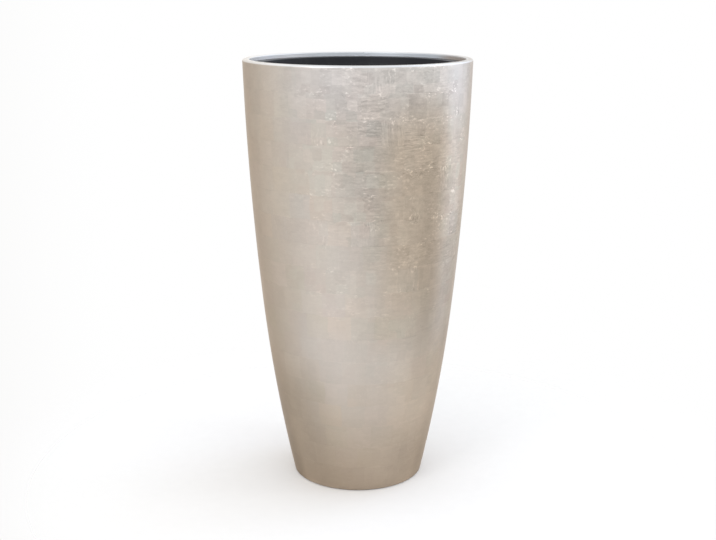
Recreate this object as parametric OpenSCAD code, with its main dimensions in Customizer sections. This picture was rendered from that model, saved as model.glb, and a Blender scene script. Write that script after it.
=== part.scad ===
// Tall round planter with a lift-out liner. Millimetres, +Z up, origin on the floor at the axis.

/* [Planter] */
// Height from the floor to the top of the rim
planter_h = 900; // [760:10:1200]
// Outer diameter at the rim
rim_d = 474; // [420:2:560]
// Outer diameter where the side meets the floor
base_d = 280; // [270:2:340]
// Thickness of the moulded wall, measured level
wall = 5; // [3:0.5:8]

/* [Side curve] */
// Share of the taper that is a straight slope
straight_share = 0.225; // [0.1:0.005:0.4]
// Share of the taper that is added near the foot
foot_share = 0.11; // [0:0.01:0.2]
// Depth below the rim where the foot's curve starts, as a share of the height
foot_from = 0.58; // [0.4:0.01:0.8]
// Radius on the shell's bottom edge
foot_round = 1.5; // [0.5:0.5:2.5]

/* [Rim] */
// Width of the lip, seen from above
rim_w = 14; // [11:0.5:22]
// Radius on the lip's outer edge
rim_round = 4.5; // [1:0.5:6]
// Radius on the lip's inner edge
lip_round = 1.5; // [0.5:0.5:2]
// Thickness of the ledge under the liner's flange
ledge_t = 6; // [3:0.5:10]
// Gap between the ledge and the liner's wall
ledge_gap = 4.5; // [2:0.5:8]

/* [Base] */
// Thickness of the bottom disc
base_t = 6; // [3:0.5:12]
// Depth of the bottom disc's underside above the shell's bottom edge
base_recess = 3; // [2:0.5:8]
// Diameter of the drain hole
base_drain_d = 20; // [12:1:30]
// Number of floor pads
pad_count = 6; // [3:1:8]
// Diameter of a floor pad
pad_d = 28; // [16:1:36]
// Diameter of the circle that the pads stand on
pad_circle_d = 210; // [140:5:220]
// How far the pads stand below the shell's bottom edge
pad_proud = 1.5; // [1:0.5:4]
// Bevel on a pad's lower edge
pad_bevel = 1; // [0.5:0.5:2]

/* [Liner] */
// Depth of the liner's flange below the top of the rim
liner_recess = 9; // [5:1:20]
// Radial gap between the flange and the lip
liner_gap = 1; // [0.5:0.25:3]
// Width of the flange
flange_w = 25; // [18:1:32]
// Thickness of the flange
flange_t = 3; // [2:0.5:5]
// Depth of the liner, from the flange's top to its underside
liner_depth = 300; // [220:5:360]
// Thickness of the liner's wall
liner_wall = 2.5; // [1.5:0.5:4]
// Thickness of the liner's floor
liner_floor = 3; // [2:0.5:6]
// Height of the straight collar below the flange's top
collar_h = 14; // [8:1:24]
// Slope of the liner's wall, in degrees from upright
liner_draft = 4; // [1:0.5:7]
// Radius inside the liner's bottom corner
liner_corner = 18; // [8:1:30]
// Radius on the flange's inner edge
mouth_round = 1.5; // [0.5:0.5:2]
// Diameter of the liner's drain hole
liner_drain_d = 16; // [10:1:24]

/* [Plugs] */
// Radial clearance of a plug's stem in its hole
plug_clear = 0.1; // [0.05:0.05:0.3]
// How far a plug's head reaches past its hole
plug_head_over = 6; // [3:1:10]
// Thickness of a plug's head
plug_head_t = 3.5; // [2:0.5:6]
// How far a plug's stem stands out below its hole
plug_stem_out = 1.5; // [0.5:0.5:1.5]
// Diameter of the knob that pulls a plug
plug_knob_d = 11; // [8:1:16]
// Height of that knob above the head
plug_knob_h = 8; // [5:1:14]

/* [Handles] */
// Diameter of the handle wire
wire_d = 5; // [4:0.5:6]
// Distance between the handle's two legs, on their centre lines
handle_w = 110; // [80:2:130]
// Distance from the pivot down to the handle's bar
handle_drop = 70; // [50:2:95]
// Radius of the bends beside the bar
bar_bend = 14; // [8:1:20]
// Radius of the bends beside the pivots
pivot_bend = 6; // [5:0.5:8]
// Radial clearance of the wire in its ear
pin_clear = 0.08; // [0.04:0.01:0.1]
// How far the wire's end stands out of its ear
pin_out = 3; // [1:0.5:6]

/* [Handle brackets] */
// Height of a bracket's plate
bracket_h = 40; // [36:1:50]
// Width of a bracket's plate
bracket_w = 22; // [14:1:30]
// Thickness of a bracket's plate
bracket_t = 2; // [1.5:0.5:3]
// Distance from the collar down to the bracket's plate
bracket_drop = 3; // [1:1:10]
// Thickness of the ear that holds the wire
ear_t = 4; // [3:0.5:6]
// Radius of the ear around the wire
ear_r = 7; // [5.5:0.5:8]
// Gap between the ear and the wire's bend
ear_side_gap = 0.5; // [0.3:0.1:1.5]
// Distance from the liner's wall in to the pivot, at the ear
pivot_standoff = 11; // [9:0.5:16]
// Diameter of a rivet
rivet_d = 4; // [3:0.5:5]
// Distance between the two rivets of a bracket
rivet_pitch = 28; // [26:1:30]
// How far a rivet's head reaches past its shank
rivet_head_over = 2; // [1:0.5:2.5]
// Height of a rivet's head
rivet_head_t = 1.8; // [1:0.2:3]

/* [Hidden] */
$fn = 96;

leaf_colour = [0.80, 0.76, 0.71];
moulding_colour = [0.62, 0.61, 0.58];
liner_colour = [0.17, 0.17, 0.19];
rubber_colour = [0.08, 0.08, 0.08];
steel_colour = [0.66, 0.67, 0.68];

// Straight steps that stand in for the side's long curve, and for a quarter of a small round
wall_steps = 26;
round_steps = 6;
// How far a cutting shape runs past what it cuts
past = 1;

base_z = pad_proud + base_recess;
base_top = base_z + base_t;
lip_r = rim_d / 2 - rim_w;
// The lip's outer rounding stays inside the wall it is made on
rim_edge = min(rim_round, wall - 0.4);

liner_top = planter_h - liner_recess;
ledge_top = liner_top - flange_t;
collar_z = liner_top - collar_h;
liner_z = liner_top - liner_depth;
liner_floor_top = liner_z + liner_floor;
flange_r = lip_r - liner_gap;
mouth_r = flange_r - flange_w;
ledge_r = mouth_r + liner_wall + ledge_gap;

bracket_z = collar_z - bracket_drop - bracket_h / 2;
ear_y = handle_w / 2 + pivot_bend + ear_side_gap;
ear_mid_y = ear_y + ear_t / 2;
ear_angle = asin(ear_mid_y / liner_side_r(bracket_z));
pivot_x = liner_side_r(bracket_z) * cos(ear_angle) - pivot_standoff;

// Share of the taper reached at a depth u below the rim, from 0 at the rim to 1 at the floor
function foot_pull(u) = u > foot_from ? pow((u - foot_from) / (1 - foot_from), 2) : 0;
function taper(u) =
    straight_share * u + (1 - straight_share - foot_share) * u * u + foot_share * foot_pull(u);
function outer_r(z) = rim_d / 2 - (rim_d - base_d) / 2 * taper((planter_h - z) / planter_h);
function inner_r(z) = outer_r(z) - wall;

// Points of a round of radius r about a centre, from one angle to another
function arc(centre, r, from, to) = [
    for (i = [0:round_steps])
        let (a = from + (to - from) * i / round_steps)
        centre + r * [cos(a), sin(a)]
];

function levels(low, high) = [for (i = [0:wall_steps]) low + (high - low) * i / wall_steps];

function reversed(points) = [for (i = [len(points) - 1:-1:0]) points[i]];

// Inside radius of the liner at a height
function liner_side_r(z) = mouth_r - max(0, collar_z - z) * tan(liner_draft);

// Round between a level floor and a sloping side that has radius side_r at the floor
function corner(side_r, floor_z, r) =
    let (centre = [side_r + r * tan(liner_draft) - r / cos(liner_draft), floor_z + r])
    arc(centre, r, -90, -liner_draft);

// Half section of the planter without its hollow
module solid_profile() {
    low = pad_proud + foot_round;
    high = planter_h - rim_edge;
    polygon(concat(
        [[0, pad_proud]],
        arc([outer_r(low) - foot_round, low], foot_round, -90, 0),
        [for (z = levels(low, high)) if (z > low && z < high) [outer_r(z), z]],
        arc([outer_r(high) - rim_edge, high], rim_edge, 0, 90),
        [[0, planter_h]]
    ));
}

// Half section of the space inside the wall
module hollow_profile() {
    polygon(concat(
        [[0, pad_proud - past], [inner_r(pad_proud), pad_proud - past]],
        [for (z = levels(pad_proud, planter_h)) [inner_r(z), z]],
        [[inner_r(planter_h), planter_h + past], [0, planter_h + past]]
    ));
}

// A ring or disc that fills the space inside the wall between two heights
module inside_ring(r, low, high) {
    rotate_extrude()
    intersection() {
        hollow_profile();
        translate([r, low])
        square([rim_d, high - low]);
    }
}

module shell() {
    color(leaf_colour)
    rotate_extrude()
    difference() {
        solid_profile();
        hollow_profile();
    }
}

module rim_ring() {
    color(leaf_colour)
    rotate_extrude()
    intersection() {
        hollow_profile();
        polygon(concat(
            [[lip_r, ledge_top], [rim_d / 2, ledge_top], [rim_d / 2, planter_h]],
            arc([lip_r + lip_round, planter_h - lip_round], lip_round, 90, 180)
        ));
    }
}

module liner_ledge() {
    color(moulding_colour)
    inside_ring(ledge_r, ledge_top - ledge_t, ledge_top);
}

module base_plate() {
    color(moulding_colour)
    inside_ring(base_drain_d / 2, base_z, base_top);
}

module floor_pads() {
    pad_r = pad_d / 2;
    color(rubber_colour)
    for (i = [0:pad_count - 1])
        rotate(360 / pad_count * i)
        translate([pad_circle_d / 2, 0, 0])
        rotate_extrude()
        polygon([[0, 0], [pad_r - pad_bevel, 0], [pad_r, pad_bevel], [pad_r, base_z], [0, base_z]]);
}

// Rubber plug whose head rests at height 0, with its stem down through a plate
module plug(hole_d, plate_t) {
    stem_r = hole_d / 2 - plug_clear;
    head_r = hole_d / 2 + plug_head_over;
    knob_r = plug_knob_d / 2;
    neck_r = knob_r * 0.7;
    neck_h = plug_knob_h * 0.4;
    stem_z = -plate_t - plug_stem_out;
    top_z = plug_head_t + plug_knob_h;
    edge = 1;
    knob_round = 2;
    color(rubber_colour)
    rotate_extrude()
    polygon(concat(
        [[0, stem_z], [stem_r - edge, stem_z], [stem_r, stem_z + edge], [stem_r, 0], [head_r, 0]],
        arc([head_r - edge, plug_head_t - edge], edge, 0, 90),
        [[neck_r, plug_head_t], [neck_r, plug_head_t + neck_h]],
        arc([knob_r - knob_round, top_z - knob_round], knob_round, 0, 90),
        [[0, top_z]]
    ));
}

module base_plug() {
    translate([0, 0, base_top])
    plug(base_drain_d, base_t);
}

module liner_plug() {
    translate([0, 0, liner_floor_top])
    plug(liner_drain_d, liner_floor);
}

module liner_body() {
    drain_r = liner_drain_d / 2;
    outside_r = mouth_r + liner_wall;
    tip = flange_t / 3;
    rotate_extrude()
    polygon(concat(
        [[drain_r, liner_floor_top]],
        corner(liner_side_r(liner_floor_top), liner_floor_top, liner_corner),
        [[mouth_r, collar_z]],
        arc([mouth_r + mouth_round, liner_top - mouth_round], mouth_round, 180, 90),
        [[flange_r - tip, liner_top], [flange_r, liner_top - tip]],
        [[flange_r, ledge_top], [outside_r, ledge_top], [outside_r, collar_z]],
        reversed(corner(liner_side_r(liner_z) + liner_wall, liner_z, liner_corner + liner_wall)),
        [[drain_r, liner_z]]
    ));
}

module liner() {
    color(liner_colour)
    difference() {
        liner_body();
        at_corners()
        at_rivets()
        rivet_hole();
    }
}

// Everything inside a cone that runs along the liner's sloping wall, a set distance in from it
module inside_liner(inset) {
    low = bracket_z - bracket_h;
    high = collar_z;
    rotate_extrude()
    polygon([
        [0, low],
        [liner_side_r(low) - inset, low],
        [liner_side_r(high) - inset, high],
        [0, high]
    ]);
}

// Places its children at a bracket's two rivets, with +Z pointing out through the wall
module at_rivets() {
    for (side = [-1, 1]) {
        z = bracket_z + side * rivet_pitch / 2;
        rotate(ear_angle)
        translate([liner_side_r(z), 0, z])
        rotate([0, 90 + liner_draft, 0])
        children();
    }
}

module rivet_hole() {
    cylinder(d = rivet_d, h = 2 * (bracket_t + liner_wall + past), center = true);
}

// One ear bracket, at the +X and +Y corner
module bracket() {
    half_angle = asin(bracket_w / 2 / liner_side_r(bracket_z));
    low = bracket_z - bracket_h / 2;
    high = bracket_z + bracket_h / 2;
    color(steel_colour)
    difference() {
        union() {
            rotate(ear_angle - half_angle)
            rotate_extrude(angle = 2 * half_angle)
            polygon([
                [liner_side_r(low) - bracket_t, low],
                [liner_side_r(low), low],
                [liner_side_r(high), high],
                [liner_side_r(high) - bracket_t, high]
            ]);
            intersection() {
                translate([pivot_x, ear_y + ear_t, bracket_z])
                rotate([90, 0, 0])
                linear_extrude(ear_t) {
                    circle(r = ear_r);
                    translate([0, -ear_r])
                    square([pivot_standoff + ear_r, 2 * ear_r]);
                }
                inside_liner(0);
            }
        }
        translate([pivot_x, ear_y - past, bracket_z])
        rotate([-90, 0, 0])
        cylinder(d = wire_d + 2 * pin_clear, h = ear_t + 2 * past);
        at_rivets()
        rivet_hole();
    }
}

// The two rivets of that bracket, each with a tapered head inside and a flat one outside
module rivet_pair() {
    head_r = rivet_d / 2 + rivet_head_over;
    tail_t = rivet_head_t / 2;
    color(steel_colour) {
        at_rivets()
        translate([0, 0, -bracket_t - tail_t])
        cylinder(d = rivet_d, h = bracket_t + liner_wall + 2 * tail_t);
        intersection() {
            at_rivets()
            translate([0, 0, -bracket_t - rivet_head_t])
            cylinder(r1 = head_r * 0.6, r2 = head_r, h = rivet_head_t + bracket_t / 2);
            inside_liner(bracket_t);
        }
        difference() {
            at_rivets()
            cylinder(r = head_r * 0.85, h = liner_wall + tail_t);
            inside_liner(-liner_wall);
        }
    }
}

// A quarter turn of wire in the YZ plane, from an angle measured from +Y towards +Z
module wire_bend(y, z, r, from) {
    translate([0, y, z])
    rotate([90, 0, 90])
    rotate(from)
    rotate_extrude(angle = 90)
    translate([r, 0])
    circle(d = wire_d);
}

// One folding handle on the +X side, hanging down
module handle() {
    leg_y = handle_w / 2;
    leg_top = -pivot_bend;
    leg_bottom = -handle_drop + bar_bend;
    color(steel_colour)
    translate([pivot_x, 0, bracket_z]) {
        both_ends() {
            translate([0, leg_y + pivot_bend, 0])
            rotate([-90, 0, 0])
            cylinder(d = wire_d, h = ear_side_gap + ear_t + pin_out);
            wire_bend(leg_y + pivot_bend, leg_top, pivot_bend, 90);
            translate([0, leg_y, leg_bottom])
            cylinder(d = wire_d, h = leg_top - leg_bottom);
            wire_bend(leg_y - bar_bend, leg_bottom, bar_bend, -90);
        }
        translate([0, bar_bend - leg_y, -handle_drop])
        rotate([-90, 0, 0])
        cylinder(d = wire_d, h = handle_w - 2 * bar_bend);
    }
}

module both_ends() {
    for (side = [0, 1])
        mirror([0, side, 0])
        children();
}

// Copies of one bracket's things for all four brackets
module at_corners() {
    for (turn = [0, 180])
        rotate(turn)
        both_ends()
        children();
}

module right_handle() {
    handle();
}

module left_handle() {
    rotate(180)
    handle();
}

module right_brackets() {
    both_ends()
    bracket();
}

module left_brackets() {
    rotate(180)
    both_ends()
    bracket();
}

module bracket_rivets() {
    at_corners()
    rivet_pair();
}

shell();
rim_ring();
liner_ledge();
base_plate();
base_plug();
floor_pads();
liner();
liner_plug();
left_handle();
right_handle();
left_brackets();
right_brackets();
bracket_rivets();
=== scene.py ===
import functools
import math

import bpy
import numpy as np
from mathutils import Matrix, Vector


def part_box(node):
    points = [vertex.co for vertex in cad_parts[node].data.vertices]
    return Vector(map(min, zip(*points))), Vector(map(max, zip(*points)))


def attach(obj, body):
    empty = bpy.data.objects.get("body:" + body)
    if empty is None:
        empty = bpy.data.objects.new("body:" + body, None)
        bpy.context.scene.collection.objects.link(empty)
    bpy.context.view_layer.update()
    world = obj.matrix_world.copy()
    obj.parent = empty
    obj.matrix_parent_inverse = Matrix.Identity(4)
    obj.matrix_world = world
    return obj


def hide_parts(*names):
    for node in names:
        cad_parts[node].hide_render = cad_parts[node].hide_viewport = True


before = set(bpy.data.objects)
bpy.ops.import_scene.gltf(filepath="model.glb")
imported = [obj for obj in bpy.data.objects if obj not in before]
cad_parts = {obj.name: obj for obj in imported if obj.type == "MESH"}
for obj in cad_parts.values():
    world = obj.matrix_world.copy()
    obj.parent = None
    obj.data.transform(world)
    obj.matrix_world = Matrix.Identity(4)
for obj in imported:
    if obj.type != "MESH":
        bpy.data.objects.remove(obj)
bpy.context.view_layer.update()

# Main sizes in metres. The heights come from the frame, and the rest is as in the solids, with a
# rim a hair inside theirs
FOOT = round(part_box("shell")[0].z, 6)
TOP = round(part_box("shell")[1].z, 6)
LEDGE_TOP = round(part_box("liner_ledge")[1].z, 6)
RIM_R = 0.23688
BASE_R = 0.140
LIP_R = 0.223
WALL = 0.005
RIM_ROUND = 0.0045
LIP_ROUND = 0.0015
FOOT_ROUND = 0.0015

# Curve of the side, as shares of how far it draws in: the straight part, and an extra pull near the
# foot, which starts this share of the way down
STRAIGHT_SHARE = 0.225
FOOT_SHARE = 0.11
FOOT_FROM = 0.58

# How finely the body's skin is divided: round the axis, up the side, down the inside, over the
# rim's rounding, and over the smaller ones at the lip and the foot
SEGMENTS = 320
SIDE_STEPS = 214
INSIDE_STEPS = 34
RIM_STEPS = 8
SMALL_STEPS = 4

# How far below the top the rings on the lip's inner face lie
LIP_RINGS = (0.0035, 0.0055, 0.0075, 0.0095)

# Angle from which an edge of the skin is shown sharp
SHARP_FROM = math.radians(40)

# Rows of cut leaf: height of a row, how far up the first lap lies, width of a leaf, how far its edges
# are torn up and down, and sideways as a share of its width
PITCH = 0.0494
LAP_SHIFT = 0.0085
LEAF_W = 0.0455
TORN_EDGE = 0.0085
TORN_SIDE = 0.16

# How the number of leaves in a row falls towards the foot: the curved and the straight share
ROW_CURVED, ROW_STRAIGHT = 0.72, 0.28

# Fixed seeds: of a row's turn round the axis, and of each leaf's two sets of random numbers
ROW_SEEDS = (7.0, 3.0)
LEAF_SEEDS = (1.0, 2.0)

# Squarish patches in each leaf, across it and up it, and how much of its torn edges they leave out
PRESSED_ACROSS, PRESSED_UP = 2.3, 2.0
PRESSED_EASED = -0.85

# Marks in a leaf: lumps a metre across it and up it, then the detail and roughness of their noise
WRINKLES = (38.0, 330.0, 3.0, 0.6)
CREASES = (36.0, 170.0, 1.0, 0.5)
FOLDS = (105.0, 210.0, 2.0, 0.6)

# Lap lines: how far from the lap they start and are full, above and below it and beside it
ROW_LINE, SIDE_LINE = (0.0016, 0.0005), (0.0011, 0.0003)

# Heights between which laps are raised in the mesh
LAPS_FROM, LAPS_TO = 0.012, 0.888

# Rings of the mesh stand this far above and below a lap, and no other ring comes nearer than this
LAP_HALF = 0.0007
LAP_CLEAR = 0.0016

# How the laps wander up and down: waves round the planter, their phase and their height
WANDERS = ((3, 1.3, 0.0009), (8, 0.4, 0.0006))

# Unevenness of leaf laid by hand: heights of its waves and lap ridges, a ridge's half width, and the
# stretch of the side that has them, with the height over which they fade in and out
WAVE_COUNT, WAVE_SEED, WAVE_LIFT = 26, 11, 0.00010
RIDGE_LIFT, RIDGE_HALF = 0.00006, 0.0009
UNEVEN_FROM, UNEVEN_TO, UNEVEN_EASE = 0.010, 0.892, 0.02

# Shares of the bake map's height: where the bare inside starts and ends, and where the leaf starts
# and ends
BARE_FROM, BARE_TO = 0.004, 0.235
LEAF_FROM, LEAF_TO = 0.240, 0.995

# Directions round the axis in radians, where 0 is to the right and -pi / 2 towards the camera. The
# worked front is given at the foot, with how far it turns in a metre of height
WORKED_FRONT, WORKED_TURN, WORKED_BACK, FOLDED_FRONT = -0.30, -1.1, 1.90, -1.12
# Where the painted brown shade on the side faces, front and back, and the side where the painted cool
# reflection is dimmer
PAINTED_SHADE_FRONT, PAINTED_SHADE_BACK, COOL_REFLECTION_DIM_SIDE = -1.00, 2.30, -2.62
# On the lip: where the painted highlight is strongest, where the bluish painted reflection is plainer,
# and the side of painted shade
PAINTED_HIGHLIGHT_SIDE, PLAIN_LIP, PAINTED_LIP_SHADE_SIDE = -2.97, 2.70, 0.70
# Where the painted brown reflection on the lip rises and falls round the axis
BROWN_REFLECTION_FROM, BROWN_REFLECTION_TO = (-0.6, 0.0), (0.75, 0.45)

# Changes along the height: where each starts and ends in metres, then its levels there, 0 and 1
# unless they are given
WORKED_RISE = (0.22, 0.80, 0.16, 0.90)
WORKED_NARROWS = (0.50, 0.85, 0.40, 0.79)
SHADE_RISE = (0.76, 0.86, 0.30, 0.50)
FOLDED_RISE = (0.30, 0.64, 0.12, 0.95)
# Painted shade towards the foot
FOOT_SHADE_FALL = (0.31, 0.03)
# Painted brown shade on two sides
PAINTED_SHADE_RISE, PAINTED_SHADE_FALL = (0.28, 0.48), (0.86, 0.74)
# Painted cool reflection near the top
COOL_REFLECTION_RISE = (0.72, 0.89)

# Where the lip's inner face and its rounded top take over: radii and heights, each from 0 to 1
LIP_FACE_R, LIP_FACE_Z = (LIP_R + 0.0032, LIP_R + 0.0018), (LEDGE_TOP - 0.008, LEDGE_TOP - 0.002)
CROWN_R, CROWN_Z = (LIP_R - 0.0005, LIP_R + 0.0005), (TOP - 0.0045, TOP - 0.0018)

# How light the leaf is, how much that differs by leaf, and how much each mark on it adds; on wrinkles,
# creases, folds and pits that is painted light and shade following their relief
LEAF_TONE, TONE_SPREAD = 0.918, 0.045
WRINKLE_PAINTED_LIGHT_SHADE, CREASE_PAINTED_SHADE, MOTTLE_TONE = 1.13, -0.07, 0.52
FLECK_PAINTED_GLINT, PIT_PAINTED_SHADE, LAP_TONE = 0.46, -0.20, 0.15

# How far each mark raises the surface, in metres
WRINKLE_LIFT, CREASE_LIFT = 0.00030, -0.00005
FOLD_LIFT, LAP_LIFT = 0.00016, 0.00006

# Colours of the leaf on the side
PINK_LEAF = (0.580, 0.504, 0.429)
GREEN_LEAF = (0.557, 0.516, 0.435)
GREY_LEAF = (0.568, 0.522, 0.490)
GREEN_PRESS = (0.535, 0.537, 0.468)
PINK_PRESS = (0.622, 0.500, 0.435)
CLOUDY_LEAF = (0.580, 0.530, 0.482)
# Painted shade towards the foot
PAINTED_FOOT_SHADE = (0.436, 0.340, 0.249)
# Painted brown shade on two sides
PAINTED_SHADE_BROWN = (0.530, 0.440, 0.345)
# Painted cool reflection near the top
PAINTED_COOL_REFLECTION = (0.615, 0.602, 0.598)
# Painted warmth that goes with the broad painted light and shade
PAINTED_WARM_REFLECTION = (0.600, 0.495, 0.385)
LACQUER_TINT = (0.80, 0.72, 0.64)

# Colours of the lip: silver, bluish from a painted reflection; plainer silver; a painted brown
# reflection; the crown's silver, lighter as a painted highlight; and its strongest painted highlight
LIP_SILVER = (0.805, 0.865, 0.925)
PLAIN_SILVER = (0.830, 0.840, 0.870)
PAINTED_BROWN_REFLECTION = (0.640, 0.570, 0.520)
CROWN_SILVER = (0.790, 0.815, 0.840)
PAINTED_HIGHLIGHT_SILVER = (0.960, 0.970, 0.970)

# Colours of the other materials
RESIN, PALE_RESIN, STRAND = (0.32, 0.31, 0.28), (0.42, 0.40, 0.36), (0.56, 0.55, 0.51)
GELCOAT, PALE_GELCOAT, RUB = (0.300, 0.288, 0.262), (0.375, 0.360, 0.330), (0.48, 0.47, 0.44)
PLASTIC, PALE_PLASTIC = (0.0160, 0.0168, 0.0208), (0.0222, 0.0234, 0.0288)
SCUFF, DUST = (0.095, 0.095, 0.100), (0.16, 0.155, 0.15)
BLOOM = (0.11, 0.105, 0.10)
NICKEL, DULL_NICKEL, PIT = (0.62, 0.61, 0.585), (0.50, 0.495, 0.48), (0.22, 0.21, 0.20)
FLOOR_GREY, FLOOR_PALE = (0.93, 0.93, 0.93), (0.96, 0.96, 0.96)

# Broad, soft painted light and shade on the leaf, with painted warmth: angle round the axis and half
# width in degrees, lowest and highest point with their softness in metres, then how much lighter it is
# and how much warmth it adds
PAINTED_LIGHT_PARTS = (
    (-150.0, 50.0, 0.02, 0.27, 0.08, -0.24, 0.40),
    (-168.0, 28.0, -0.20, 0.20, 0.06, -0.14, 0.0),
    (-156.0, 38.0, -0.20, 1.20, 0.10, 0.0, 0.42),
    (-153.0, 13.0, -0.20, 0.09, 0.05, -0.055, 0.0),
    (-40.0, 36.0, 0.02, 0.13, 0.05, -0.165, 0.0),
    (-34.0, 44.0, -0.20, 0.32, 0.08, 0.0, 0.50),
    (-12.0, 28.0, -0.20, 0.92, 0.05, -0.09, 0.08),
    (-88.0, 17.0, 0.54, 0.80, 0.06, -0.07, 0.0),
    (-56.0, 20.0, 0.50, 0.83, 0.05, -0.065, 0.36),
    (-27.0, 14.0, 0.40, 0.60, 0.10, -0.08, 0.0),
    (-17.0, 12.0, 0.17, 0.40, 0.06, -0.05, 0.0),
    (-110.0, 24.0, 0.74, 1.20, 0.06, -0.045, 0.0),
    (-74.0, 32.0, 0.84, 1.20, 0.02, 0.08, 0.0),
)

# Share of its half width in which each of them is at full strength
PAINTED_LIGHT_CORE = 0.15

# Camera: the photo's focal length and width in pixels, the sensor's width in millimetres, its place
# in metres, how far it looks down in radians and how far it sees in metres
FOCAL_PX, PHOTO_WIDTH_PX = 1125.0, 716.0
SENSOR_WIDTH = 36.0
CAMERA_PLACE = (0.00056, -2.3510, 1.0454)
CAMERA_DOWN = 0.248
CAMERA_REACH = 60.0

# Floor: radii of its rings, sides of each, and the radii between which it fades out
FLOOR_RINGS = (0.3, 0.6, 1.0, 1.4, 1.9)
FLOOR_SIDES = 96
FLOOR_FADE = (0.26, 0.95)

# Lamps: name, place, the point aimed at, width and height, power and colour
LAMPS = (
    ("key", (-1.7, -2.2, 2.1), (0, 0, 0.55), (1.2, 1.6), 16.0, (1.0, 0.99, 0.97)),
    ("side", (2.1, -0.3, 1.5), (0, 0, 0.6), (0.5, 1.6), 5.0, (0.88, 0.94, 1.0)),
)

# Soft parts of the studio: azimuth from the camera towards +X, half width, lowest and highest
# elevation with their softness (all in degrees), and what each adds
SOFT_PARTS = (
    (-42.0, 60.0, -34.0, 60.0, 20.0, (0.04, 0.04, 0.06)),
    (-26.0, 52.0, -50.0, -18.0, 8.0, (0.22, 0.22, 0.24)),
    (121.0, 28.0, -18.0, 70.0, 9.0, (0.60, 0.72, 0.94)),
    (12.0, 26.0, -23.0, -10.0, 5.0, (-0.16, -0.16, -0.17)),
    (58.0, 56.0, -24.0, -10.0, 6.0, (-0.20, -0.22, -0.25)),
    (88.0, 28.0, -36.0, -8.0, 8.0, (-0.24, -0.26, -0.29)),
    (54.0, 50.0, -37.0, -25.0, 5.0, (0.14, 0.14, 0.15)),
    (122.0, 40.0, -56.0, -22.0, 8.0, (-0.36, -0.38, -0.40)),
    (-134.0, 34.0, -56.0, 40.0, 10.0, (-0.20, -0.22, -0.24)),
    (-110.0, 48.0, -52.0, -25.0, 7.0, (-0.35, -0.36, -0.37)),
)

# Share of its half width in which each of them is at full strength, and what they are added to
SOFT_PART_CORE = 0.25
WHITE = (1.0, 1.0, 1.0)


# Shader nodes: the sockets that a Mix node uses for colours, by number
MIX_FACTOR, MIX_A, MIX_B, MIX_RESULT = 0, 6, 7, 2


class Value:
    """What a node gives. Arithmetic on numbers of this kind makes the nodes that work it out."""

    def __init__(self, tree, socket):
        self.tree = tree
        self.socket = socket

    def __add__(self, other):
        return self.tree.math("ADD", self, other)

    def __sub__(self, other):
        return self.tree.math("SUBTRACT", self, other)

    def __rsub__(self, other):
        return self.tree.math("SUBTRACT", other, self)

    def __mul__(self, other):
        return Product(self.tree, self, other)

    def __truediv__(self, other):
        return self.tree.math("DIVIDE", self, other)

    def __abs__(self):
        return self.tree.math("ABSOLUTE", self)


class Product(Value):
    """Two numbers multiplied. A sum makes one node for both, and else its node comes at first use."""

    def __init__(self, tree, *factors):
        self.tree = tree
        self.factors = factors

    @functools.cached_property
    def socket(self):
        return self.tree.math("MULTIPLY", *self.factors).socket

    def __add__(self, other):
        return self.tree.math("MULTIPLY_ADD", *self.factors, other)


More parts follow.
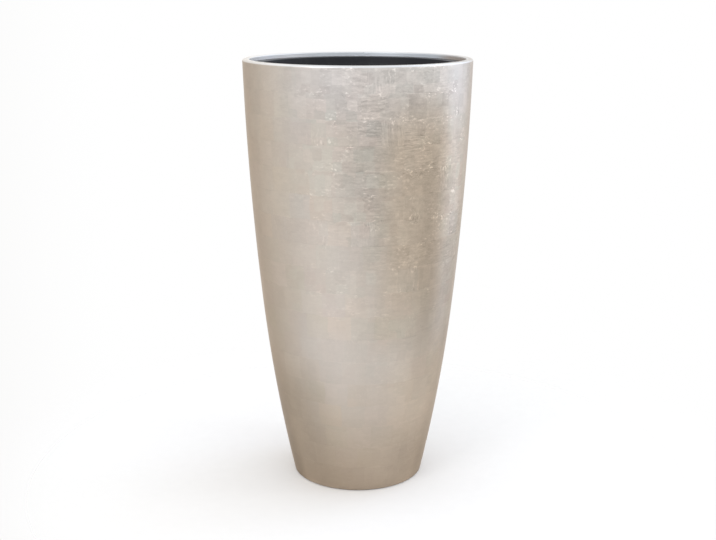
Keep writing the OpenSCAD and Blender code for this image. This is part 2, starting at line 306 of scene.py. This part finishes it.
class Tree:
    """Short ways to make and link shader nodes."""

    def __init__(self, tree):
        self.tree = tree
        tree.nodes.clear()

    def link(self, value, socket):
        if isinstance(value, Value):
            self.tree.links.new(value.socket, socket)
        elif socket.type == "RGBA":
            socket.default_value = (*value, 1.0)
        else:
            socket.default_value = value

    def node(self, kind, inputs, **settings):
        """Makes a node, and links or sets its inputs by name or by number."""
        made = self.tree.nodes.new("ShaderNode" + kind)
        for name, setting in settings.items():
            setattr(made, name, setting)
        for name, value in inputs.items():
            self.link(value, made.inputs[name])
        return made

    def value(self, kind, inputs, output=0, **settings):
        """Makes a node and gives one of its outputs."""
        return Value(self, self.node(kind, inputs, **settings).outputs[output])

    def values(self, kind, inputs, **settings):
        """Makes a node and gives all its outputs."""
        return [Value(self, socket) for socket in self.node(kind, inputs, **settings).outputs]

    def math(self, operation, *values):
        return self.value("Math", dict(enumerate(values)), operation=operation)

    def sine(self, angle):
        return self.math("SINE", angle)

    def cosine(self, angle):
        return self.math("COSINE", angle)

    def floor(self, value):
        return self.math("FLOOR", value)

    def larger(self, a, b):
        return self.math("MAXIMUM", a, b)

    def smaller(self, a, b):
        return self.math("MINIMUM", a, b)

    def facing(self, theta, direction):
        """1 on the side that faces a direction round the axis, falling to -1 on the far side."""
        return self.cosine(theta - direction)

    def place(self, kind="Object"):
        """Where a point is, in the object's own frame unless another kind is asked for."""
        return self.value("TexCoord", {}, output=kind)

    def parts_of(self, vector):
        return self.values("SeparateXYZ", {"Vector": vector})

    def colours_of(self, colour):
        return self.values("SeparateColor", {"Color": colour})

    def radius(self, x, y):
        return self.math("SQRT", x * x + y * y)

    def vector(self, x, y, z):
        return self.value("CombineXYZ", {"X": x, "Y": y, "Z": z})

    def colour(self, red, green, blue):
        return self.value("CombineColor", {"Red": red, "Green": green, "Blue": blue})

    def scale(self, vector, by):
        return self.value("VectorMath", {0: vector, 1: by}, operation="MULTIPLY")

    def noise(self, at, scale, detail=2.0, rough=0.5):
        """Soft noise from 0 to 1, most of it near 0.5, with scale in lumps a metre."""
        inputs = {"Vector": at, "Scale": scale, "Detail": detail, "Roughness": rough}
        return self.value("TexNoise", inputs, output="Fac")

    def ripple(self, at, scale, detail=2.0, rough=0.5):
        """The same noise about 0."""
        return self.noise(at, scale, detail, rough) - 0.5

    def random(self, x, y, z):
        return self.value("TexWhiteNoise", {"Vector": self.vector(x, y, z)}, output="Value")

    def random_three(self, x, y, z):
        found = self.value("TexWhiteNoise", {"Vector": self.vector(x, y, z)}, output="Color")
        return self.colours_of(found)

    def smooth(self, value, low, high, at_low=0.0, at_high=1.0):
        """A soft step from at_low to at_high, as value goes from low to high."""
        inputs = {"Value": value, "From Min": low, "From Max": high}
        inputs.update({"To Min": at_low, "To Max": at_high})
        return self.value("MapRange", inputs, interpolation_type="SMOOTHSTEP")

    def between(self, part, value, low, high, soft):
        """A part that fades out where value is below low or above high."""
        part = part * self.smooth(value, low - soft, low + soft)
        return part * self.smooth(value, high + soft, high - soft)

    def mix(self, factor, a, b, blend="MIX"):
        inputs = {MIX_FACTOR: factor, MIX_A: a, MIX_B: b}
        return self.value("Mix", inputs, output=MIX_RESULT, data_type="RGBA", blend_type=blend)

    def gain(self, colour, by):
        """A colour times a number."""
        return self.mix(1.0, colour, self.colour(by, by, by), blend="MULTIPLY")


def new_material(name):
    made = bpy.data.materials.new(name)
    made.use_nodes = True
    return made, Tree(made.node_tree)


def finish_material(t, colour, roughness, height, **sockets):
    """A plain shader with its surface raised by height, in metres."""
    inputs = {"Base Color": colour, "Roughness": roughness}
    inputs["Normal"] = t.value("Bump", {"Strength": 1.0, "Distance": 1.0, "Height": height})
    inputs.update({name.replace("_", " "): value for name, value in sockets.items()})
    t.node("OutputMaterial", {"Surface": t.value("BsdfPrincipled", inputs)})


# Metal leaf
def lap_wander(turns, sine):
    """How far the laps wander up at some angle round the axis, in the mesh and in the material."""
    (times_a, phase_a, size_a), (times_b, phase_b, size_b) = WANDERS
    return sine(turns * times_a + phase_a) * size_a + sine(turns * times_b + phase_b) * size_b


class Leaf:
    """The leaf's pattern, from how it was cut and worked to its colour, with painted light and shade,
    its relief and roughness.
    """

    def __init__(self, t):
        self.t = t
        self.at = t.place()
        x, y, self.z = t.parts_of(self.at)
        self.theta = t.math("ARCTAN2", y, x)
        self.r = t.radius(x, y)
        self.cut()
        self.work()
        self.wrinkle()
        self.press()
        self.fold()
        self.lap()
        self.on_lip = t.smooth(self.r, *LIP_FACE_R) * t.smooth(self.z, *LIP_FACE_Z)

    def cut(self):
        """Rows of leaf with slightly torn edges, and whole leaves round each row."""
        t = self.t
        self.torn = t.ripple(self.at, 55.0, 3.0, 0.6) * TORN_EDGE
        self.level = (self.z - lap_wander(self.theta, t.sine) - LAP_SHIFT + self.torn) / PITCH
        self.row = t.floor(self.level)
        self.up = self.level - self.row

        # fewer leaves towards the foot
        depth = (TOP - self.row * PITCH) / TOP
        row_r = depth * (depth * ROW_CURVED + ROW_STRAIGHT) * (BASE_R - RIM_R) + RIM_R
        count = t.math("ROUND", row_r * (2 * math.pi / LEAF_W))
        self.ragged = t.ripple(self.at, 48.0, 3.0, 0.6) * TORN_SIDE
        shift = t.random(self.row, *ROW_SEEDS) * 3.0 + self.ragged
        turn = self.theta * (1 / (2 * math.pi)) + 0.5
        self.across = turn * count + shift
        column = t.floor(self.across)
        self.along = self.across - column
        self.column = t.math("FLOORED_MODULO", column, count)
        one, two = (t.random_three(self.column, self.row, seed) for seed in LEAF_SEEDS)
        self.upright_pick, self.busy_pick, self.hue_pick = one
        self.tilt_pick, self.wear_pick, self.tone_pick = two

    def work(self):
        """Where the leaf was worked hardest: high up, and more on some sides than on others."""
        t, z, theta = self.t, self.z, self.theta
        back = t.facing(theta, WORKED_BACK)
        high = t.smooth(z, *WORKED_RISE)
        turned = t.larger(t.facing(theta, z * WORKED_TURN + WORKED_FRONT), back)
        self.worked = high * t.smooth(turned, t.smooth(z, *WORKED_NARROWS), 0.98, 0.20, 1.0)
        self.shaded = high * t.smooth(turned, 0.45, 0.92, 0.10, 1.0) * t.smooth(z, *SHADE_RISE)
        folded = t.larger(t.facing(theta, FOLDED_FRONT), back)
        self.gathered = t.smooth(z, *FOLDED_RISE) * t.smooth(folded, 0.45, 0.95, 0.10, 1.0)

    def leaf_noise(self, across, up, detail, rough):
        """Noise that starts anew in each leaf, scaled across it and up it."""
        t = self.t
        return t.noise(t.vector(self.u * across, self.v * up, self.seed), 1.0, detail, rough)

    def wrinkle(self):
        """Fine wrinkles, level in most leaves, upright in some and never quite straight."""
        t, at = self.t, self.at
        lean = t.smooth(self.upright_pick, 0.81, 0.83) * (math.pi / 2)
        lean = lean + (self.tilt_pick - 0.5) * 0.15
        sine, cosine = t.sine(lean), t.cosine(lean)
        a = self.along * LEAF_W
        b = self.up * PITCH + t.ripple(at, 30.0, 1.0) * 0.003
        self.u = a * cosine + b * sine
        self.v = b * cosine - a * sine
        self.seed = self.column * 3.7 + self.row * 1.9

        patches = t.smooth(t.noise(at, 12.0, 2.0), 0.40, 0.62)
        busy = patches * (self.busy_pick * 0.7 + 0.3)
        lines = self.leaf_noise(*WRINKLES) - 0.5
        self.wrinkles = lines * ((busy * 0.85 + 0.15) * self.worked)
        crease = abs(self.leaf_noise(*CREASES) - 0.5)
        self.crease = t.smooth(crease, 0.030, 0.004) * (busy * self.worked)
        self.grain = t.ripple(t.scale(at, (1.0, 1.0, 1.6)), 330.0, 2.0, 0.6)
        self.mottle = t.ripple(t.scale(at, (1.0, 1.0, 1.9)), 62.0, 3.0, 0.65)
        self.mottle *= self.worked * 0.88 + 0.12
        self.clouds = t.ripple(t.scale(at, (1.0, 1.0, 1.4)), 30.0, 1.0) * (self.shaded * 0.30)

    def press(self):
        """Squarish patches inside each leaf, where it was pressed down with a pad."""
        t = self.t
        pad_x = self.ragged * PRESSED_EASED + self.across
        pad_y = self.torn * (PRESSED_EASED / PITCH) + self.level
        patches = t.value(
            "TexVoronoi",
            {
                "Vector": t.vector(pad_x * PRESSED_ACROSS, pad_y * PRESSED_UP, 0.5),
                "Scale": 1.0,
                "Smoothness": 0.10,
                "Randomness": 0.40,
            },
            output="Color",
            feature="SMOOTH_F1",
            distance="CHEBYCHEV",
            voronoi_dimensions="2D",
        )
        lighter, self.greener, self.pinker = t.colours_of(patches)
        self.square = (lighter - 0.5) * (self.shaded * 0.30 + 0.03)

    def fold(self):
        """Crinkled spots, where leaf gathered into tiny folds with pits between them, most of them
        along the laps; the tone paints the folds lighter as glints and the pits darker as shade.
        """
        t = self.t
        near_lap = t.smooth(abs(self.up - 0.5), 0.20, 0.46)
        spots = t.smooth(t.noise(self.at, 30.0, 1.5), 0.48, 0.60)
        spots = spots * (near_lap * 0.55 + 0.42) * self.gathered
        folds = self.leaf_noise(*FOLDS)
        self.flecks = t.smooth(folds, 0.54, 0.66) * spots
        self.pits = t.smooth(folds, 0.42, 0.30) * spots

    def lap(self):
        """A thin light or dark line where one leaf lies over the next."""
        t = self.t
        row_gap = t.smaller(self.up, 1.0 - self.up) * PITCH
        side_gap = t.smaller(self.along, 1.0 - self.along) * LEAF_W
        worn = t.smooth(t.noise(self.at, 19.0, 2.0), 0.44, 0.60)
        row_line = t.smooth(row_gap, *ROW_LINE) * worn
        side_line = t.smooth(side_gap, *SIDE_LINE) * (worn * 0.5)
        self.laps = t.larger(row_line, side_line) * (self.worked * 0.8 + 0.2)
        self.lap_light = self.laps * t.smooth(t.noise(self.at, 14.0, 1.0), 0.46, 0.56, -1.0, 1.0)

    def base_colour(self):
        """Champagne, pinker and greener by leaf, with painted shade, darker towards the foot and more
        brown on two sides, and a painted cool reflection, lighter near the top.
        """
        t, z = self.t, self.z
        base = t.mix(self.hue_pick, PINK_LEAF, GREEN_LEAF)
        base = t.mix(self.wear_pick * 0.5, base, GREY_LEAF)
        hue = self.shaded * 1.30 + 0.12
        base = t.mix(self.greener * hue, base, GREEN_PRESS)
        base = t.mix(self.pinker * hue, base, PINK_PRESS)
        base = t.mix(t.smooth(t.noise(self.at, 6.5, 3.0), 0.38, 0.64) * 0.45, base, CLOUDY_LEAF)
        # painted shade: darker and more brown towards the foot
        base = t.mix(t.smooth(z, *FOOT_SHADE_FALL) * 0.75, base, PAINTED_FOOT_SHADE)

        # painted brown shade, strongest on the front-right and weaker on the back-left, over the middle
        # of the height
        painted_brown_shade = t.larger(
            t.smooth(t.facing(self.theta, PAINTED_SHADE_FRONT), 0.89, 0.99),
            t.smooth(t.facing(self.theta, PAINTED_SHADE_BACK), 0.80, 0.99) * 0.6,
        )
        painted_brown_shade = painted_brown_shade * t.smooth(z, *PAINTED_SHADE_FALL) * t.smooth(z, *PAINTED_SHADE_RISE)
        painted_brown_shade = painted_brown_shade * (self.wear_pick * 0.3 + 0.7)
        base = t.mix(painted_brown_shade * 0.75, base, PAINTED_SHADE_BROWN)

        # painted cool reflection: lighter, greyer silver near the top, dimmer on the left
        dimmer_reflection = t.smooth(t.facing(self.theta, COOL_REFLECTION_DIM_SIDE), 0.62, 0.98)
        return t.mix(t.smooth(z, *COOL_REFLECTION_RISE) * (dimmer_reflection * -0.30 + 0.60), base, PAINTED_COOL_REFLECTION)

    def tone(self):
        """How light the leaf is, with painted light and shade on its wrinkles, creases, folds and pits,
        before the broad painted light and shade.
        """
        tone = self.tone_pick * TONE_SPREAD + LEAF_TONE
        # painted light on raised wrinkles, painted shade in their hollows and in the creases
        tone = tone + self.wrinkles * WRINKLE_PAINTED_LIGHT_SHADE + self.crease * CREASE_PAINTED_SHADE
        tone = tone + self.grain * (self.worked * 0.16 + 0.08)
        tone = tone + self.mottle * MOTTLE_TONE + (self.clouds + self.square)
        # folds painted lighter as glints, pits painted darker as shade
        return tone + self.flecks * FLECK_PAINTED_GLINT + self.pits * PIT_PAINTED_SHADE + self.lap_light * LAP_TONE

    def side_colour(self):
        """Colour and tone together, with the broad painted light and shade and painted warmth by
        direction and height.
        """
        t = self.t
        base, tone, warm = self.base_colour(), self.tone(), 0.0
        for angle, half, low, high, soft, lighter, painted_warmth in PAINTED_LIGHT_PARTS:
            off = t.facing(self.theta, math.radians(angle))
            edge, core = math.radians(half), math.radians(half * PAINTED_LIGHT_CORE)
            part = t.smooth(off, math.cos(edge), math.cos(core))
            part = t.between(part, self.z, low, high, soft)
            # painted light and shade, and painted warmth, by where each part faces and how high it is
            tone = part * lighter + tone
            warm = part * painted_warmth + warm
        return t.gain(t.mix(warm, base, PAINTED_WARM_REFLECTION), tone)

    def colour(self):
        """The side's colour, and silver on the lip with painted reflections: bluish, more brown and
        darker on the right, with a painted highlight on its rounded top, strongest on the left.
        """
        t, theta = self.t, self.theta
        # painted reflection: bluish silver, plainer on the left-back
        plainer = t.smooth(t.facing(theta, PLAIN_LIP), 0.70, 0.97)
        # painted brown reflection on the right
        painted_warmth = t.smooth(theta, *BROWN_REFLECTION_TO) * t.smooth(theta, *BROWN_REFLECTION_FROM)
        silver = t.mix(painted_warmth, t.mix(plainer, LIP_SILVER, PLAIN_SILVER), PAINTED_BROWN_REFLECTION)
        # painted shade, darker on the right-back
        silver = t.gain(silver, t.smooth(t.facing(theta, PAINTED_LIP_SHADE_SIDE), 0.70, 0.95, 1.0, 0.91))
        colour = t.mix(self.on_lip, self.side_colour(), silver)

        # painted highlight: the rounded top lighter, strongest on the left
        crown = t.smooth(self.z, *CROWN_Z) * t.smooth(self.r, *CROWN_R)
        painted_highlight = t.smooth(t.facing(theta, PAINTED_HIGHLIGHT_SIDE), 0.50, 0.90)
        return t.mix(crown, colour, t.mix(painted_highlight, CROWN_SILVER, PAINTED_HIGHLIGHT_SILVER))

    def metallic(self):
        return self.on_lip * -0.45 + 1.0

    def roughness(self):
        return self.busy_pick * 0.07 + 0.36 - self.flecks * 0.10 + self.wrinkles * 0.10

    def lift(self):
        """How far the surface is raised, in metres."""
        lift = self.wrinkles * WRINKLE_LIFT + self.crease * CREASE_LIFT
        return lift + (self.flecks - self.pits) * FOLD_LIFT + self.laps * LAP_LIFT


def leaf_material():
    made, t = new_material("champagne_leaf")
    leaf = Leaf(t)
    finish_material(
        t,
        leaf.colour(),
        leaf.roughness(),
        leaf.lift(),
        Metallic=leaf.metallic(),
        Coat_Weight=0.10,
        Coat_Roughness=0.30,
        Specular_Tint=LACQUER_TINT,
    )
    return made


# Other materials
def laminate_material():
    """Bare glass-fibre laminate: chopped strands under greyish resin."""
    made, t = new_material("bare_laminate")
    at = t.place()
    warp = t.value("TexNoise", {"Vector": at, "Scale": 18.0, "Detail": 2.0}, output="Color")
    bent = t.value("VectorMath", {0: warp, 1: (0.02, 0.02, 0.02), 2: at}, operation="MULTIPLY_ADD")
    strands = 0.0
    for squeeze in ((34.0, 300.0, 120.0), (300.0, 34.0, 150.0), (130.0, 120.0, 34.0)):
        lines = abs(t.ripple(t.scale(bent, squeeze), 1.0, 2.0, 0.55))
        strands = t.larger(strands, t.smooth(lines, 0.05, 0.0))
    blotch = t.noise(at, 7.0, 3.0)
    colour = t.mix(strands * 0.45, t.mix(blotch, RESIN, PALE_RESIN), STRAND)
    lift = strands * 0.00022 + blotch * 0.0006
    finish_material(t, colour, strands * 0.18 + 0.48, lift)
    return made


def moulding_material():
    """Grey gelcoat on the bonded ring and the base plate, rubbed and a little dusty."""
    made, t = new_material("grey_gelcoat")
    at = t.place()
    cloud = t.noise(at, 11.0, 4.0)
    grain = t.noise(at, 900.0, 2.0)
    rubs = t.smooth(t.noise(t.scale(at, (260.0, 30.0, 90.0)), 1.0, 3.0), 0.60, 0.72)
    colour = t.mix(rubs * 0.35, t.mix(cloud, GELCOAT, PALE_GELCOAT), RUB)
    rough = cloud * 0.18 + 0.42 + rubs * 0.12
    finish_material(t, colour, rough, grain * 0.00003 + cloud * 0.0003)
    return made


def liner_material():
    """Dark moulded plastic with a fine spark-eroded grain, flow marks and faint scuffs."""
    made, t = new_material("anthracite_plastic")
    at = t.place()
    grain = t.noise(at, 780.0, 2.0, 0.6)
    flow = t.noise(t.scale(at, (9.0, 9.0, 3.0)), 1.0, 3.0)
    scuff = t.smooth(t.noise(t.scale(at, (60.0, 60.0, 420.0)), 1.0, 4.0, 0.65), 0.64, 0.74)
    dust = t.smooth(t.noise(t.scale(at, (70.0, 70.0, 22.0)), 1.0, 5.0, 0.6), 0.50, 0.78)
    colour = t.mix(scuff * 0.30, t.mix(flow, PLASTIC, PALE_PLASTIC), SCUFF)
    colour = t.mix(dust * 0.07, colour, DUST)
    colour = t.gain(colour, grain * 0.60 + 0.70)
    rough = grain * 0.16 + 0.42 + scuff * 0.10
    finish_material(t, colour, rough, grain * 0.00012, Specular_IOR_Level=0.45)
    return made


def rubber_material(name, tone):
    """Moulded black rubber with a fine grain and a pale bloom in places."""
    made, t = new_material(name)
    at = t.place()
    grain = t.noise(at, 1600.0, 2.0)
    cloud = t.noise(at, 60.0, 3.0)
    bloom = t.smooth(t.noise(at, 190.0, 4.0, 0.7), 0.52, 0.75)
    base = t.mix(cloud, (tone, tone, tone * 1.02), (tone * 1.7, tone * 1.68, tone * 1.65))
    colour = t.mix(bloom * 0.22, base, BLOOM)
    finish_material(t, colour, bloom * 0.14 + 0.68, grain * 0.00004, Specular_IOR_Level=0.35)
    return made


def wire_material():
    """Bright drawn wire, nickel plated: fine drawing lines, tiny pits and duller rubbed spots."""
    made, t = new_material("nickel_wire")
    at = t.place()
    lines = t.noise(t.scale(at, (900.0, 120.0, 900.0)), 1.0, 2.0)
    dull = t.smooth(t.noise(at, 85.0, 4.0), 0.42, 0.68)
    pits = t.smooth(t.noise(at, 1300.0, 1.0), 0.70, 0.78)
    colour = t.mix(pits * 0.55, t.mix(dull, NICKEL, DULL_NICKEL), PIT)
    rough = dull * 0.16 + 0.20 + lines * 0.06
    finish_material(t, colour, rough, lines * 0.00002 - pits * 0.00003, Metallic=1.0)
    return made


def bracket_material(name, warm):
    """Zinc-plated pressed steel: brushed, with a faint straw and blue tint."""
    made, t = new_material(name)
    at = t.place()
    brushed = t.noise(t.scale(at, (60.0, 60.0, 1500.0)), 1.0, 2.0)
    tint = t.noise(at, 55.0, 3.0)
    spangle = t.value("TexVoronoi", {"Vector": at, "Scale": 420.0}, output="Color")
    grey = t.colours_of(spangle)[0]
    base = t.mix(tint, (0.54 + warm, 0.535, 0.50), (0.50, 0.515, 0.55 - warm))
    colour = t.gain(base, grey * 0.10 + 0.93)
    rough = brushed * 0.16 + 0.24 + grey * 0.05
    finish_material(t, colour, rough, brushed * 0.00002, Metallic=1.0)
    return made


# Planter body
def taper(u):
    """How far the side has drawn in, from 0 at the rim to 1 at the foot."""
    pull = np.where(u > FOOT_FROM, ((u - FOOT_FROM) / (1 - FOOT_FROM)) ** 2, 0.0)
    return STRAIGHT_SHARE * u + (1 - STRAIGHT_SHARE - FOOT_SHARE) * u * u + FOOT_SHARE * pull


def outer_r(z):
    return RIM_R - (RIM_R - BASE_R) * taper((TOP - np.asarray(z, float)) / TOP)


def arc(centre, radius, start, end, steps):
    turns = np.radians(np.linspace(start, end, steps + 1))
    return [(centre[0] + radius * math.cos(a), centre[1] + radius * math.sin(a)) for a in turns]


def lap_heights():
    found = LAP_SHIFT + PITCH * np.arange(math.ceil(TOP / PITCH))
    return found[(found > LAPS_FROM) & (found < LAPS_TO)]


def side_heights(low, high):
    """Heights of the side's rings: evenly spaced, but for a pair round each lap."""
    heights = np.linspace(low, high, SIDE_STEPS)[1:-1]
    laps = lap_heights()
    clear = np.min(np.abs(heights[:, None] - laps[None, :]), axis=1) > LAP_CLEAR
    return np.sort(np.concatenate([heights[clear], laps - LAP_HALF, laps + LAP_HALF]))


def body_profile():
    """Half section of the body in three runs: up the outside, over the lip, and down inside."""
    low, high = FOOT + FOOT_ROUND, TOP - RIM_ROUND
    outside = arc((outer_r(low) - FOOT_ROUND, low), FOOT_ROUND, -90, 0, SMALL_STEPS)
    outside += [(float(outer_r(z)), float(z)) for z in side_heights(low, high)]
    outside += arc((outer_r(high) - RIM_ROUND, high), RIM_ROUND, 0, 90, RIM_STEPS)
    lip = arc((LIP_R + LIP_ROUND, TOP - LIP_ROUND), LIP_ROUND, 90, 180, SMALL_STEPS)
    lip += [(LIP_R, TOP - down) for down in LIP_RINGS]
    inside = [(LIP_R, LEDGE_TOP)]
    inside += [(float(outer_r(z)) - WALL, z) for z in np.linspace(LEDGE_TOP, FOOT, INSIDE_STEPS)]
    return outside, lip, inside


def shallow_waves(turns, z):
    """Waves of at most WAVE_LIFT, because leaf laid by hand is never quite even."""
    seed = np.random.default_rng(WAVE_SEED)
    waves = np.zeros_like(z)
    for _ in range(WAVE_COUNT):
        around = seed.integers(1, 22)
        climb = seed.uniform(4.0, 70.0)
        size = seed.uniform(0.3, 1.0) / (1 + 0.10 * around + 0.02 * climb)
        waves += size * np.cos(around * turns + climb * z + seed.uniform(0, 2 * np.pi))
    return waves * (WAVE_LIFT / np.abs(waves).max())


def lap_ridges(turns, z):
    """A thin ridge along each lap, stronger in some places than in others."""
    ridges = np.zeros_like(z)
    for k, lap in enumerate(lap_heights()):
        near = np.exp(-(((z - lap) / RIDGE_HALF) ** 2))
        strong = 0.5 + 0.5 * np.sin(5 * turns + 2.1 * k) * np.sin(9 * turns + 1.7 * k)
        ridges += near * strong * RIDGE_LIFT
    return ridges


def body_points(profile, outside_rows):
    """Points of the skin, ring by ring, with the outside a little uneven."""
    turns = np.linspace(0, 2 * np.pi, SEGMENTS, endpoint=False)
    r, z, turns = np.broadcast_arrays(profile[:, :1], profile[:, 1:], turns)
    uneven = (z > UNEVEN_FROM) & (z < UNEVEN_TO) & (np.arange(len(profile))[:, None] < outside_rows)
    ease = np.clip((z - UNEVEN_FROM) / UNEVEN_EASE, 0, 1) * np.clip((UNEVEN_TO - z) / UNEVEN_EASE, 0, 1)
    ease = np.where(uneven, ease, 0.0)
    r = r + (shallow_waves(turns, z) + lap_ridges(turns, z)) * ease
    z = z + lap_wander(turns, np.sin) * ease
    return np.stack([r * np.cos(turns), r * np.sin(turns), z], axis=-1).reshape(-1, 3)


def body_faces(rows):
    """Four-sided faces from each ring to the next, and from the last one back to the first."""
    ring = SEGMENTS * np.arange(rows)[:, None]
    next_ring = np.roll(ring, -1)
    here = np.arange(SEGMENTS)[None, :]
    beside = np.roll(here, -1)
    corners = [ring + here, ring + beside, next_ring + beside, next_ring + here]
    return np.stack(corners, axis=-1).reshape(-1, 4)


def body_map(profile, leafed):
    """A plain unrolled bake map, with most of it for the leaf."""
    lengths = np.concatenate([[0.0], np.cumsum(np.linalg.norm(np.diff(profile, axis=0), axis=1))])
    edge, end = lengths[leafed - 1], lengths[-1]

    # each ring of faces runs from low to high on the map, and the last one closes the foot
    low = np.where(
        np.arange(len(profile)) < leafed,
        LEAF_FROM + (LEAF_TO - LEAF_FROM) * lengths / edge,
        BARE_FROM + (BARE_TO - BARE_FROM) * (1 - (lengths - edge) / (end - edge)),
    )
    high = np.roll(low, -1)
    high[-1] = 0.0
    low[leafed - 1] = BARE_TO
    left = np.arange(SEGMENTS) / SEGMENTS
    right = np.arange(1, SEGMENTS + 1) / SEGMENTS
    corners = np.empty((len(profile), SEGMENTS, 4, 2), np.float32)
    corners[..., 0] = np.stack([left, right, right, left], axis=-1)
    corners[..., 1] = np.stack([low, low, high, high], axis=-1)[:, None]
    return corners


def body_mesh():
    outside, lip, inside = body_profile()
    leafed = len(outside + lip)
    profile = np.array(outside + lip + inside)
    points = body_points(profile, len(outside))
    faces = body_faces(len(profile))
    mesh = bpy.data.meshes.new("planter_body")
    mesh.from_pydata(points.tolist(), [], faces.tolist())

    # the first material is for the leafed faces, and the second for the bare ones
    bare = np.repeat(np.arange(len(profile)) >= leafed - 1, SEGMENTS)
    mesh.polygons.foreach_set("material_index", bare.astype(np.int32))
    mesh.update()
    mesh.polygons.foreach_set("use_smooth", np.ones(len(faces), bool))
    mesh.set_sharp_from_angle(angle=SHARP_FROM)
    mesh.uv_layers.new(name="OFBake").uv.foreach_set("vector", body_map(profile, leafed).ravel())
    return mesh


def add_object(name, data):
    made = bpy.data.objects.new(name, data)
    bpy.context.scene.collection.objects.link(made)
    return made


def add_body():
    """The skin that stands for the shell and the rim ring, with its two materials."""
    mesh = body_mesh()
    mesh.materials.append(leaf_material())
    mesh.materials.append(laminate_material())
    made = add_object("planter_body", mesh)
    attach(made, "planter")
    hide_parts("shell", "rim_ring")


def give(node, material):
    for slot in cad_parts[node].material_slots:
        slot.material = material


def dress_solids():
    """Detailed materials for the solids that show as they are."""
    give("liner_ledge", moulding_material())
    give("base_plate", moulding_material())
    give("liner", liner_material())
    give("liner_plug", rubber_material("plug_rubber", tone=0.022))
    give("base_plug", rubber_material("plug_rubber_base", tone=0.022))
    give("floor_pads", rubber_material("pad_rubber", tone=0.018))
    wire = wire_material()
    give("left_handle", wire)
    give("right_handle", wire)
    plate = bracket_material("zinc_brackets", warm=0.02)
    give("left_brackets", plate)
    give("right_brackets", plate)
    give("bracket_rivets", bracket_material("zinc_rivets", warm=0.0))


# Stage
def add_camera():
    data = bpy.data.cameras.new("camera")
    data.sensor_fit = "HORIZONTAL"
    data.sensor_width = SENSOR_WIDTH
    data.lens = SENSOR_WIDTH * FOCAL_PX / PHOTO_WIDTH_PX
    data.clip_end = CAMERA_REACH
    made = add_object("camera", data)
    made.location = CAMERA_PLACE
    made.rotation_euler = (math.pi / 2 - CAMERA_DOWN, 0.0, 0.0)
    bpy.context.scene.camera = made


def floor_material():
    """A pale matt floor that fades out into the studio round it."""
    made, t = new_material("studio_floor")
    at = t.place()
    x, y, _ = t.parts_of(at)
    matt = t.value("BsdfDiffuse", {"Color": t.mix(t.noise(at, 40.0, 3.0), FLOOR_GREY, FLOOR_PALE)})
    clear = t.value("BsdfTransparent", {})
    faded = t.smooth(t.radius(x, y), *FLOOR_FADE)
    t.node("OutputMaterial", {"Surface": t.value("MixShader", {0: faded, 1: matt, 2: clear})})
    return made


def add_floor():
    """A round floor: a fan of triangles in the middle, and rings of four-sided faces round it."""
    points = [(0.0, 0.0, 0.0)]
    faces = []
    for ring, radius in enumerate(FLOOR_RINGS):
        first = len(points)
        for i in range(FLOOR_SIDES):
            turn = 2 * math.pi * i / FLOOR_SIDES
            points.append((radius * math.cos(turn), radius * math.sin(turn), 0.0))
            here, beside = first + i, first + (i + 1) % FLOOR_SIDES
            if ring == 0:
                faces.append((0, here, beside))
            else:
                faces.append((here - FLOOR_SIDES, here, beside, beside - FLOOR_SIDES))
    mesh = bpy.data.meshes.new("floor")
    mesh.from_pydata(points, [], faces)
    mesh.materials.append(floor_material())
    add_object("floor", mesh)


def add_world():
    """A pale studio: white behind the object, with softly brighter and darker parts round it."""
    world = bpy.data.worlds.new("studio")
    bpy.context.scene.world = world
    world.use_nodes = True
    t = Tree(world.node_tree)
    x, y, z = t.parts_of(t.place("Generated"))
    azimuth = t.math("ARCTAN2", x, y * -1.0) * math.degrees(1)
    height = t.math("ARCSINE", z) * math.degrees(1)
    total = WHITE
    for at, half, low, high, soft, adds in SOFT_PARTS:
        off = abs(t.math("WRAP", azimuth - at, 180.0, -180.0))
        part = t.smooth(off, half, half * SOFT_PART_CORE)
        part = t.between(part, height, low, high, soft)
        total = [part * add + so_far for add, so_far in zip(adds, total)]
    back = t.value("Background", {"Color": t.colour(*total), "Strength": 1.0})
    t.node("OutputWorld", {"Surface": back})


def add_lamp(name, place, aim, size, power, colour):
    data = bpy.data.lights.new(name, "AREA")
    data.shape = "RECTANGLE"
    data.size, data.size_y = size
    data.energy = power
    data.color = colour
    made = add_object(name, data)
    made.location = place
    away = np.array(aim, float) - np.array(place, float)
    away /= np.linalg.norm(away)
    turn = math.atan2(away[1], away[0]) - math.pi / 2
    made.rotation_euler = (math.acos(-away[2]), 0.0, turn)


def main():
    bpy.context.scene.view_settings.view_transform = "Standard"
    add_camera()
    add_world()
    add_floor()
    for lamp in LAMPS:
        add_lamp(*lamp)
    add_body()
    dress_solids()


main()
